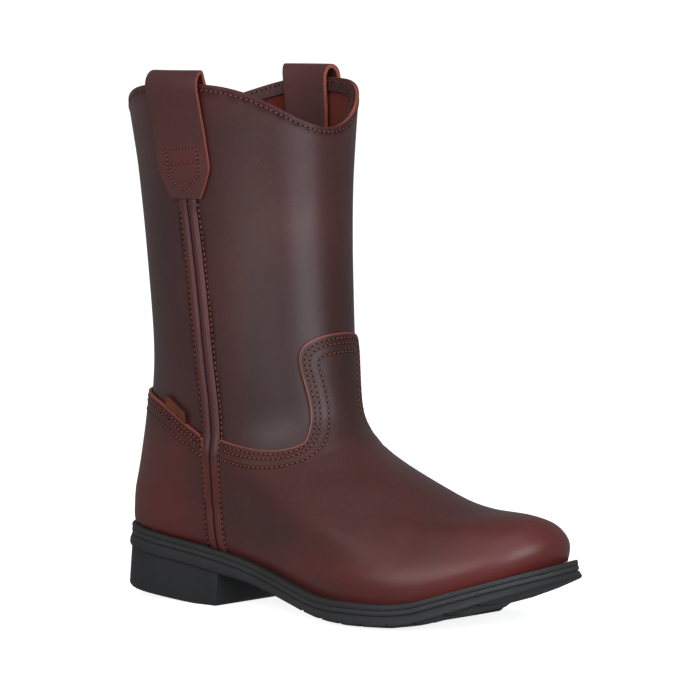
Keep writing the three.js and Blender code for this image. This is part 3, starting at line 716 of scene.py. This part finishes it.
def waxed_thread(name, colour):
    look = Look(name)
    ply = look.noise(1400.0, 2.0, 0.5)
    tone = look.ramp(ply, (0.3, shade(colour, 0.6)), (0.7, shade(colour, 1.25)))
    look.set(Base_Color=tone, Roughness=0.55, Normal=look.bump(ply, 0.4, 0.0002))
    return look.material


# Near-black painted shade for the needle holes and the gaps between sunk stitches
def painted_hole_shade(name):
    look = Look(name)
    fleck = look.noise(700.0, 2.0, 0.5)
    tone = look.ramp(fleck, (0.4, (0.008, 0.003, 0.0025)), (0.7, (0.016, 0.006, 0.005)))
    look.set(Base_Color=tone, Roughness=0.9, Specular_IOR_Level=0.15)
    return look.material


def moulded_rubber(name, colour, rough):
    """Dull moulded rubber with a fine skin and a little dust"""
    look = Look(name)
    skin = look.noise(480.0, 4.0, 0.65)
    clouds = look.noise(22.0, 4.0, 0.6)
    tone = look.ramp(clouds, (0.3, shade(colour, 0.8)), (0.7, shade(colour, 1.25)))
    dust = look.noise(170.0, 5.0, 0.75)
    tone = look.mix(look.span(dust, 0.62, 0.78, 0.0, 0.35), tone, shade(colour, 3.2))
    look.set(Base_Color=tone, Normal=look.bump(skin, 0.35, 0.0002))
    look.set(Roughness=look.span(skin, 0.3, 0.7, rough - 0.06, rough + 0.08))
    return look.material


def woven_cloth(name, colour, pitch):
    """Plain weave from two crossed waves"""
    look = Look(name)
    waves = []
    for direction in ("X", "Z"):
        wave = look.node("ShaderNodeTexWave", bands_direction=direction)
        wave.inputs["Scale"].default_value = pitch
        wave.inputs["Distortion"].default_value = 0.4
        look.link(look.place.outputs["Object"], wave, "Vector")
        waves.append(wave.outputs["Fac"])
    weave = look.maths("MULTIPLY", waves[0], waves[1])
    clouds = look.noise(60.0, 3.0, 0.6)
    tone = look.ramp(clouds, (0.3, shade(colour, 0.75)), (0.7, shade(colour, 1.2)))
    tone = look.mix(look.span(weave, 0.0, 1.0, 0.35, 0.0), tone, shade(colour, 0.4))
    look.set(Base_Color=tone, Roughness=0.9, Normal=look.bump(weave, 0.5, 0.0003))
    look.set(Specular_IOR_Level=0.2)
    return look.material


def all_looks():
    """Every finish of the boot by name, made once"""
    s = settings()
    shaft = tuple(s.shaft_colour)
    foot = tuple(s.foot_colour)
    edge = tuple(s.edge_colour)
    return {
        "shaft": oiled_leather("shaft_leather", shaft, 0.43, 0.0),
        "vamp": oiled_leather("vamp_leather", foot, 0.43, 0.05),
        "counter": oiled_leather("counter_leather", shade(foot, 1.05, 1.08), 0.46, 0.0),
        "seam": oiled_leather("seam_leather", shade(shaft, 1.1, 1.08), 0.42, 0.0),
        "strap": oiled_leather("strap_leather", shade(shaft, 1.35, 0.94), 0.46, 0.0),
        "edge": raw_edge("leather_edge", edge),
        "suede": suede("suede_lining", tuple(s.lining_colour)),
        "strap_back": suede("strap_back", shade(tuple(s.lining_colour), 0.55)),
        "thread": waxed_thread("thread", tuple(s.thread_colour)),
        "lip_thread": waxed_thread("lip_thread", (0.020, 0.018, 0.018)),
        "hole": painted_hole_shade("painted_hole_shade"),
        "facing": oiled_leather("facing_cloth", shade(shaft, 0.9), 0.55),
        "outsole": moulded_rubber("rubber_outsole", (0.018, 0.018, 0.019), 0.66),
        "heel": moulded_rubber("rubber_heel", (0.0135, 0.0135, 0.015), 0.62),
        "midsole": moulded_rubber("rubber_midsole", (0.027, 0.027, 0.028), 0.70),
        "welt": moulded_rubber("rubber_welt", (0.022, 0.021, 0.022), 0.64),
        "board": suede("insole_board", (0.19, 0.105, 0.055)),
        "tab": woven_cloth("tab_cloth", (0.19, 0.055, 0.026), 420.0),
        "tab_edge": woven_cloth("tab_edge_cloth", (0.03, 0.014, 0.012), 420.0),
    }


LOOKS = {}
PIECES = {}


def mark_near(piece, name, marks, reach):
    """Stores on each point how near it lies to the marks, from 1 on them to 0 beyond the reach"""
    tree = kd_tree(marks)
    values = [max(0.0, 1.0 - tree.find(v.co)[2] / reach) for v in piece.data.vertices]
    made = piece.data.attributes.get(name) or piece.data.attributes.new(name, "FLOAT", "POINT")
    made.data.foreach_set("value", values)


def store(piece, name, amount):
    """Stores how redly rubbed the leather is at each point, or how much painted shade it gets,
    from 0 to 1
    """
    values = np.clip(amount(*coordinates(piece.data).T), 0, 1)
    made = piece.data.attributes.new(name, "FLOAT", "POINT")
    made.data.foreach_set("value", values)


def ease(value, low, high):
    """0 below low, 1 above high and smooth between them"""
    t = np.clip((value - low) / (high - low), 0, 1)
    return t * t * (3 - 2 * t)


# Shapes that the soft leather takes


def ankle_creases(piece):
    """Faint creases across the bend of the ankle and a slack fold behind the tongue"""
    points = coordinates(piece.data)
    normals = np.zeros(len(points) * 3)
    piece.data.vertices.foreach_get("normal", normals)
    normals = normals.reshape(-1, 3)
    depth = np.zeros(len(points))
    for x, z, slope, wide, deep in (
        (0.006, 0.098, 0.55, 0.0022, 0.10),
        (0.012, 0.090, 0.60, 0.0020, 0.12),
        (0.000, 0.106, 0.50, 0.0026, 0.08),
    ):
        line = points[:, 2] - z - slope * (points[:, 0] - x)
        spread = np.exp(-(((points[:, 0] - x) / 0.022) ** 2))
        depth += deep * MM * np.exp(-((line / wide) ** 2)) * spread
    move_to(piece.data, points - normals * depth[:, None])


def across_seam(place, edges):
    """Where a point lies across the seam, from -1 on one edge to 1 on the other"""
    above = max(0.0, place.z - SEAM_TOP)
    level = place - Vector((-SEAM_LEAN, 0, 1)) * above
    first, second = (edge.find(level)[2] for edge in edges)
    return (first - second) / (first + second)


def lobes(piece, lining):
    """Rounds the seam's two lobes and sinks the groove between them"""
    back = 0.5 * MM
    rim, crown = 1.05 * MM, 0.95 * MM
    fuller, groove, groove_wide = 0.25 * MM, 1.0 * MM, 0.12
    sides = []
    for loop in edge_loops(piece):
        sides += runs(loop, lambda p: 0.034 < p.z < SEAM_TOP)
    edges = [kd_tree(resample(run, 0.0005)) for run in sides[:2]]
    top = max(vertex.co.z for vertex in piece.data.vertices)
    for vertex in piece.data.vertices:
        spot, normal, _, _ = lining.find_nearest(vertex.co)
        height = (vertex.co - spot).dot(normal)
        if height < back:
            continue
        across = across_seam(vertex.co, edges)
        bulge = abs(math.sin(math.pi * across))
        near_end = ease(vertex.co.z, top - 8 * MM, top - 5 * MM)
        height += (rim + crown * bulge**0.6 - height) * near_end
        height += fuller * bulge - groove * math.exp(-((across / groove_wide) ** 2))
        vertex.co = spot + normal * height
    tuck_under(piece, lining)
    piece.data.update()


def tuck_under(piece, lining):
    """Carries the seam's upper end on and lowers it, so that it passes under the strap"""
    top = max(vertex.co.z for vertex in piece.data.vertices)
    for vertex in piece.data.vertices:
        reach = vertex.co.z - top + 3 * MM
        if reach <= 0:
            continue
        spot, normal, _, _ = lining.find_nearest(vertex.co)
        height = (vertex.co - spot).dot(normal)
        further = vertex.co + Vector((0, 0, reach * 1.2))
        spot, normal, _, _ = lining.find_nearest(further)
        if further.z > top:
            height = min(height, 1.2 * MM)
        vertex.co = spot + normal * height


def fuller_toe(piece):
    """A little more body in the leather over the tip of the toe"""
    middle_x, middle_z = 0.136, 0.054
    wide_x, wide_z = 0.011, 0.012
    outward = np.array((0.5, 0.0, 0.85))
    points = coordinates(piece.data)
    far = ((points[:, 0] - middle_x) / wide_x) ** 2 + ((points[:, 2] - middle_z) / wide_z) ** 2
    fullness = 1.3 * MM * np.exp(-far)
    move_to(piece.data, points + outward * fullness[:, None])


def pleats(piece):
    """Small upright pleats in the band turned in at the collar"""
    half_round = 41
    points = coordinates(piece.data)
    middle = points[:, :2].mean(0)
    turn = np.arctan2(points[:, 1] - middle[1], points[:, 0] - middle[0])
    wave = np.abs(np.sin(turn * half_round)) ** 4 * (0.65 + 0.35 * np.sin(turn * 5.3))
    out = points[:, :2] - middle
    out /= np.linalg.norm(out, axis=1)[:, None]
    points[:, :2] -= out * (wave * 0.55 * MM)[:, None]
    move_to(piece.data, points)


# Operators


class BOOT_OT_shaft(bpy.types.Operator):
    """Shaft and lining in one leather piece"""

    bl_idname = "boot.shaft"
    bl_label = "Shaft"

    def execute(self, context):
        looks = (LOOKS["shaft"], LOOKS["suede"], LOOKS["edge"])
        piece = leather_piece(
            "upper", "shaft", "shaft_leather", looks, settings().smoothness, 0.5
        )
        ankle_creases(piece)
        store(
            piece,
            "burnish",
            lambda x, y, z: 0.35 * ease(x, -0.03, 0.02) + 0.3 * ease(z, 0.262, 0.285),
        )
        # Painted shade low on the front and low at the back of the shaft
        store(
            piece,
            "painted_shade",
            lambda x, y, z: 0.4 * ease(x, -0.042, -0.028) * ease(-z, -0.22, -0.17)
            + 0.35 * ease(-x, 0.095, 0.115) * ease(-z, -0.20, -0.16),
        )
        PIECES["shaft"] = piece
        return {"FINISHED"}


class BOOT_OT_foot(bpy.types.Operator):
    """Vamp with its tongue, and the counter round the heel"""

    bl_idname = "boot.foot"
    bl_label = "Vamp and counter"

    def execute(self, context):
        for node, slot in (("vamp", "vamp_leather"), ("counter", "counter_leather")):
            looks = (LOOKS[node], LOOKS["suede"], LOOKS["edge"])
            piece = leather_piece(node, node + "_leather", slot, looks, 3, 0.45, 42)
            ankle_creases(piece)
            if node == "vamp":
                fuller_toe(piece)
            store(
                piece,
                "burnish",
                lambda x, y, z: 0.85 * ease(x, 0.088, 0.138)
                + 0.55 * ease(-z, -0.045, -0.026)
                + 0.45 * ease(-x, 0.07, 0.09),
            )
            # Painted shade on the upper part of the vamp and the counter, over the tongue
            store(piece, "painted_shade", lambda x, y, z: 0.5 * ease(z, 0.085, 0.105))
            PIECES[node] = piece
        return {"FINISHED"}


class BOOT_OT_side_seams(bpy.types.Operator):
    """Raised side seams with a stitched groove"""

    bl_idname = "boot.side_seams"
    bl_label = "Side seams"

    def execute(self, context):
        lining = tree_of(PIECES["shaft"], side=FACE)
        for side in ("lateral", "medial"):
            node = "side_seam_" + side
            looks = (LOOKS["seam"], LOOKS["seam"], LOOKS["seam"])
            piece = leather_piece(node, node + "_piping", "seam_leather", looks, 3, 0.2)
            lobes(piece, lining)
            store(piece, "burnish", lambda x, y, z: 0.25 + 0.6 * ease(-z, -0.085, -0.075))
            PIECES[node] = piece
        return {"FINISHED"}


class BOOT_OT_pull_straps(bpy.types.Operator):
    """Pull straps looped over the collar"""

    bl_idname = "boot.pull_straps"
    bl_label = "Pull straps"

    def execute(self, context):
        for side in ("lateral", "medial"):
            node = "pull_strap_" + side
            looks = (LOOKS["strap"], LOOKS["strap_back"], LOOKS["edge"])
            piece = leather_piece(node, node + "_leather", "strap_leather", looks, 3, 0.5)
            store(
                piece,
                "burnish",
                lambda x, y, z: 0.15
                + 0.45 * ease(-z, -0.262, -0.247) * ease(-x, 0.078, 0.092)
                + 0.5 * np.exp(-(((z - 0.247) / 0.008) ** 2)) * ease(x, -0.081, -0.075),
            )
            PIECES[node] = piece
        return {"FINISHED"}


class BOOT_OT_collar(bpy.types.Operator):
    """Band turned in at the collar"""

    bl_idname = "boot.collar"
    bl_label = "Collar band"

    def execute(self, context):
        looks = (LOOKS["facing"], LOOKS["facing"], LOOKS["facing"])
        piece = leather_piece("collar_facing", "collar_band", "facing_cloth", looks, 3, 0.3)
        pleats(piece)
        PIECES["facing"] = piece
        return {"FINISHED"}


class BOOT_OT_tab(bpy.types.Operator):
    """Small folded cloth tab in the counter's edge"""

    bl_idname = "boot.tab"
    bl_label = "Side tab"

    def execute(self, context):
        looks = (LOOKS["tab"], LOOKS["tab"], LOOKS["tab_edge"])
        leather_piece("side_tab", "folded_tab", "tab_cloth", looks, 3, 0.3)
        return {"FINISHED"}


class BOOT_OT_sole(bpy.types.Operator):
    """Welt, midsole, outsole, heel block and the board inside"""

    bl_idname = "boot.sole"
    bl_label = "Sole"

    def execute(self, context):
        for node, round_mm in (
            ("welt", 0.35), ("midsole", 0.35), ("outsole", 0.5), ("heel", 0.6)
        ):
            piece = copy_of_node(node, node + "_rubber")
            piece.data.materials.append(LOOKS[node])
            if node in ("welt", "midsole"):
                self.close_gap(piece)
            bevel = piece.modifiers.new("rounded edge", "BEVEL")
            bevel.limit_method = "ANGLE"
            bevel.angle_limit = math.radians(38)
            bevel.width = round_mm * MM
            bevel.segments = 2
            apply_modifiers(piece)
            activate(piece)
            bpy.ops.object.shade_smooth_by_angle(angle=math.radians(34))
            PIECES[node] = finish_piece(piece, "rubber_" + node, node)
        self.lip_row(PIECES["welt"])
        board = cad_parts["insole"]
        board.data.materials.clear()
        board.data.materials.append(LOOKS["board"])
        return {"FINISHED"}

    def close_gap(self, piece):
        """Lowers the underside onto the layer below"""
        for vertex in piece.data.vertices:
            if vertex.normal.z < -0.3:
                vertex.co.z -= 0.32 * MM

    def lip_row(self, welt):
        """Heavy dark stitches along the top of the welt"""
        mesh = welt.data
        for face in mesh.polygons:
            face.material_index = FACE if face.normal.z > 0.7 else BACK
        loops = sorted(edge_loops(welt), key=lambda loop: -max(p.x for p in loop))
        for face in mesh.polygons:
            face.material_index = FACE
        tree = tree_of(welt)
        path = beside(loops[0] + [loops[0][0]], tree, 1.7 * MM)
        spots = spots_along(path, tree, 2.5 * MM, 0.12 * MM)
        size = (2.3 * MM, 1.25 * MM, 1.0 * MM)
        row = beads_mesh("welt_thread", spots, size, LOOKS["lip_thread"])
        finish_piece(row, "rubber_welt")


class BOOT_OT_stitches(bpy.types.Operator):
    """All rows of stitches, with painted shade for their needle holes"""

    bl_idname = "boot.stitches"
    bl_label = "Stitches"

    def execute(self, context):
        piping = tree_of(PIECES["side_seam_lateral"], PIECES["side_seam_medial"])
        lining = tree_of(PIECES["shaft"], side=FACE)
        marks = {node: self.rim_rows(node, lining, piping) for node in ("vamp", "counter")}
        skin = tree_of(PIECES["shaft"], PIECES["vamp"], PIECES["counter"], side=FACE)
        outside = self.seam_rows("lateral", lining, skin)
        outside += self.seam_rows("medial", lining, skin)
        marks["shaft"] = self.collar_row(lining)
        self.band_row()
        for side in ("lateral", "medial"):
            self.shield(side)
        for node in ("vamp", "counter"):
            self.pale_rim(PIECES[node], piping)
            # Painted shade beside the rows of stitches and the side seams
            mark_near(PIECES[node], "sunk_shade", marks[node] + outside, 0.0016)
        # Painted shade beside the collar row and the side seams
        mark_near(PIECES["shaft"], "sunk_shade", marks["shaft"] + outside, 0.0022)
        return {"FINISHED"}

    def rim_rows(self, node, lining, piping):
        """Rows inside the rim of the vamp or the counter, from seam to seam"""
        piece = PIECES[node]
        tree = tree_of(piece, side=FACE)
        sewing = Sewing()
        for loop in edge_loops(piece):
            for run in runs(loop, lambda p: p.z > 0.06 and piping.find_nearest(p)[3] > 0.0035):
                for inward in RIM_ROWS:
                    path = beside(run, tree, inward * MM, under=lining)
                    sewing.row(stretch(path, tree, piping), tree)
        sewing.make(node + "_rows", node + "_leather")
        return sewing.marks

    def seam_rows(self, side, lining, skin):
        """A row along each edge of the side seam, and a sunk one in its groove, which gets painted
        shade
        """
        piece = PIECES["side_seam_" + side]
        tree = tree_of(piece)
        ends = tree_of(PIECES["pull_strap_" + side], PIECES["welt"])
        sides = []
        for loop in edge_loops(piece):
            sides += runs(loop, lambda p: 0.036 < p.z < SEAM_TOP)
        sides.sort(key=lambda run: sum(p.x for p in run) / len(run))
        sewing = Sewing()
        for run, away in zip(sides, SEAM_ROWS):
            path = stretch(beside(run, lining, away * MM, tree), lining, ends)
            sewing.row(outermost(path, lining, skin), skin)
        sewing.make("side_rows_" + side, "seam_leather")
        groove = stretch(midline(sides[0], sides[1]), lining, ends)
        groove = outermost(groove, lining, tree)
        # Painted shade in the groove between the lobes
        mark_near(piece, "sunk_shade", resample(groove, 0.0004), 0.0018)
        sunk = Sewing()
        sunk.row(groove, tree, 3.2)
        sunk.make("groove_row_" + side, "seam_leather", 0.4, 2.1)
        return sewing.marks

    def collar_row(self, lining):
        sewing = Sewing()
        for loop in edge_loops(PIECES["shaft"]):
            if min(p.z for p in loop) > 0.2:
                sewing.row(beside(loop + [loop[0]], lining, 2.3 * MM), lining)
        sewing.make("collar_row", "shaft_leather")
        return sewing.marks

    def band_row(self):
        """Row near the upper rim of the band inside the collar"""
        tree = tree_of(PIECES["facing"], side=BACK)
        rims = [loop for loop in edge_loops(PIECES["facing"], BACK) if len(loop) > 40]
        upper = max(rims, key=lambda loop: sum(p.z for p in loop) / len(loop))
        sewing = Sewing()
        sewing.row(beside(upper + [upper[0]], tree, 1.7 * MM), tree)
        sewing.make("collar_inner_row", "facing_cloth")

    def pale_rim(self, piece, piping):
        """Pale wear along the rim, but no pale cut edge beside the seams"""
        rim = [p for loop in edge_loops(piece) for p in loop if p.z > 0.06]
        mark_near(piece, "wear", rim, 0.0009)
        for face in piece.data.polygons:
            if face.material_index == CUT and piping.find_nearest(face.center)[3] < 2.0 * MM:
                face.material_index = FACE

    def shield(self, side):
        """Shield-shaped rows with a bar across on the strap's face"""
        strap = PIECES["pull_strap_" + side]
        tree = tree_of(strap)
        points = coordinates(strap.data)
        out = -1 if side == "lateral" else 1
        low = points[:, 2].min()
        outline = [
            (-10.4, 27.4), (-9.8, 20.0), (-9.7, 12.6), (-4.9, 8.4), (1.5, 4.7),
            (8.2, 8.8), (13.6, 12.8), (13.0, 20.5), (12.8, 28.5), (-10.4, 27.4),
        ]
        bar = [(-9.0, 18.6), (-2.5, 19.3), (4.5, 20.2), (12.0, 21.1)]
        sewing = Sewing()
        for line in (outline, bar):
            path = []
            for across, up in line:
                z = low + up * MM
                band = points[np.abs(points[:, 2] - z) < 0.004]
                band = band[band[:, 1] * out > (band[:, 1] * out).max() - 0.012]
                x = (band[:, 0].min() + band[:, 0].max()) / 2 - 0.0013 + across * MM
                start = Vector((x, out * 0.2, z))
                spot, _, _, _ = tree.ray_cast(start, Vector((0, -out, 0)))
                path.append(spot)
            sewing.row(path, tree, 2.3)
        sewing.make("shield_rows_" + side, "strap_leather")


class BOOT_OT_stage(bpy.types.Operator):
    """Pale floor, soft lights and the camera"""

    bl_idname = "boot.stage"
    bl_label = "Stage"

    def execute(self, context):
        scene = context.scene
        scene.view_settings.view_transform = "Standard"
        self.world(scene)
        deselect_all()
        bpy.ops.mesh.primitive_plane_add(size=160, location=(0, 0, 0))
        floor = bpy.context.object
        floor.name = "floor"
        look = Look("floor")
        paper = look.noise(6.0, 3.0, 0.5)
        look.set(Base_Color=look.ramp(paper, (0.3, (0.90, 0.90, 0.90)), (0.7, (0.92, 0.92, 0.92))))
        look.set(Roughness=0.9, Emission_Color=(1.0, 1.0, 1.0), Emission_Strength=0.84)
        floor.data.materials.append(look.material)
        floor.visible_diffuse = False
        floor.visible_glossy = False
        self.camera(scene)
        self.softbox("key", 72, 15, 1.9, (1.3, 1.3), 22.0, (0.90, 0.94, 1.0))
        self.softbox("fill", 10, 20, 2.3, (1.8, 1.4), 20.0, (1.0, 0.98, 0.97))
        self.softbox("top", 40, 60, 1.9, (1.5, 1.5), 7.0, (0.95, 0.97, 1.0))
        return {"FINISHED"}

    def world(self, scene):
        """Dim studio light all round, seen as plain white behind the boot"""
        world = bpy.data.worlds.new("studio")
        scene.world = world
        world.use_nodes = True
        nodes = world.node_tree.nodes
        links = world.node_tree.links
        dim = nodes["Background"]
        dim.inputs["Color"].default_value = (0.95, 0.97, 1.0, 1)
        dim.inputs["Strength"].default_value = 0.28
        white = nodes.new("ShaderNodeBackground")
        white.inputs["Strength"].default_value = 1.0
        white.inputs["Color"].default_value = (1.0, 1.0, 1.0, 1)
        ray = nodes.new("ShaderNodeLightPath")
        mix = nodes.new("ShaderNodeMixShader")
        links.new(ray.outputs["Is Camera Ray"], mix.inputs["Fac"])
        links.new(dim.outputs["Background"], mix.inputs[1])
        links.new(white.outputs["Background"], mix.inputs[2])
        links.new(mix.outputs["Shader"], nodes["World Output"].inputs["Surface"])

    def direction(self, azimuth, elevation):
        a, e = math.radians(azimuth), math.radians(elevation)
        return Vector((math.sin(a) * math.cos(e), -math.cos(a) * math.cos(e), math.sin(e)))

    def camera(self, scene):
        back = self.direction(VIEW_AZIMUTH, VIEW_ELEVATION)
        turn = back.to_track_quat("Z", "Y").to_matrix().to_4x4()
        turn = turn @ Matrix.Rotation(math.radians(VIEW_ROLL), 4, "Z")
        right = turn.col[0].to_3d()
        up = turn.col[1].to_3d()
        target = Vector(VIEW_TARGET) + right * VIEW_RIGHT - up * VIEW_DOWN
        data = bpy.data.cameras.new("camera")
        data.sensor_width = 36
        data.lens = VIEW_LENS
        data.clip_end = 300
        camera = bpy.data.objects.new("camera", data)
        camera.matrix_world = Matrix.Translation(target + back * VIEW_DISTANCE) @ turn
        scene.collection.objects.link(camera)
        scene.camera = camera

    def softbox(self, name, azimuth, elevation, distance, size, power, colour):
        """Area light that shines on the boot from a direction"""
        data = bpy.data.lights.new(name, "AREA")
        data.shape = "RECTANGLE"
        data.size, data.size_y = size
        data.energy = power
        data.color = colour
        light = bpy.data.objects.new(name, data)
        toward = self.direction(azimuth, elevation)
        turn = toward.to_track_quat("Z", "Y").to_matrix().to_4x4()
        light.matrix_world = Matrix.Translation(Vector((0, 0, 0.14)) + toward * distance) @ turn
        bpy.context.scene.collection.objects.link(light)


class BOOT_PT_panel(bpy.types.Panel):
    """Lists the boot's settings and pieces"""

    bl_idname = "BOOT_PT_panel"
    bl_label = "Western Work Boot"
    bl_space_type = "VIEW_3D"
    bl_region_type = "UI"
    bl_category = "Boot"

    def draw(self, context):
        for name in BootSettings.__annotations__:
            self.layout.prop(context.scene.boot_settings, name)
        for operator in OPERATORS:
            self.layout.operator(operator.bl_idname)


OPERATORS = (
    BOOT_OT_shaft,
    BOOT_OT_foot,
    BOOT_OT_side_seams,
    BOOT_OT_pull_straps,
    BOOT_OT_collar,
    BOOT_OT_tab,
    BOOT_OT_sole,
    BOOT_OT_stitches,
    BOOT_OT_stage,
)
CLASSES = (BootSettings, *OPERATORS, BOOT_PT_panel)


def register():
    for cls in CLASSES:
        bpy.utils.register_class(cls)
    bpy.types.Scene.boot_settings = bpy.props.PointerProperty(type=BootSettings)


def unregister():
    del bpy.types.Scene.boot_settings
    for cls in reversed(CLASSES):
        bpy.utils.unregister_class(cls)


def main():
    register()
    LOOKS.update(all_looks())
    bpy.ops.boot.shaft()
    bpy.ops.boot.foot()
    bpy.ops.boot.side_seams()
    bpy.ops.boot.pull_straps()
    bpy.ops.boot.collar()
    bpy.ops.boot.tab()
    bpy.ops.boot.sole()
    bpy.ops.boot.stitches()
    bpy.ops.boot.stage()


if __name__ == "__main__":
    main()
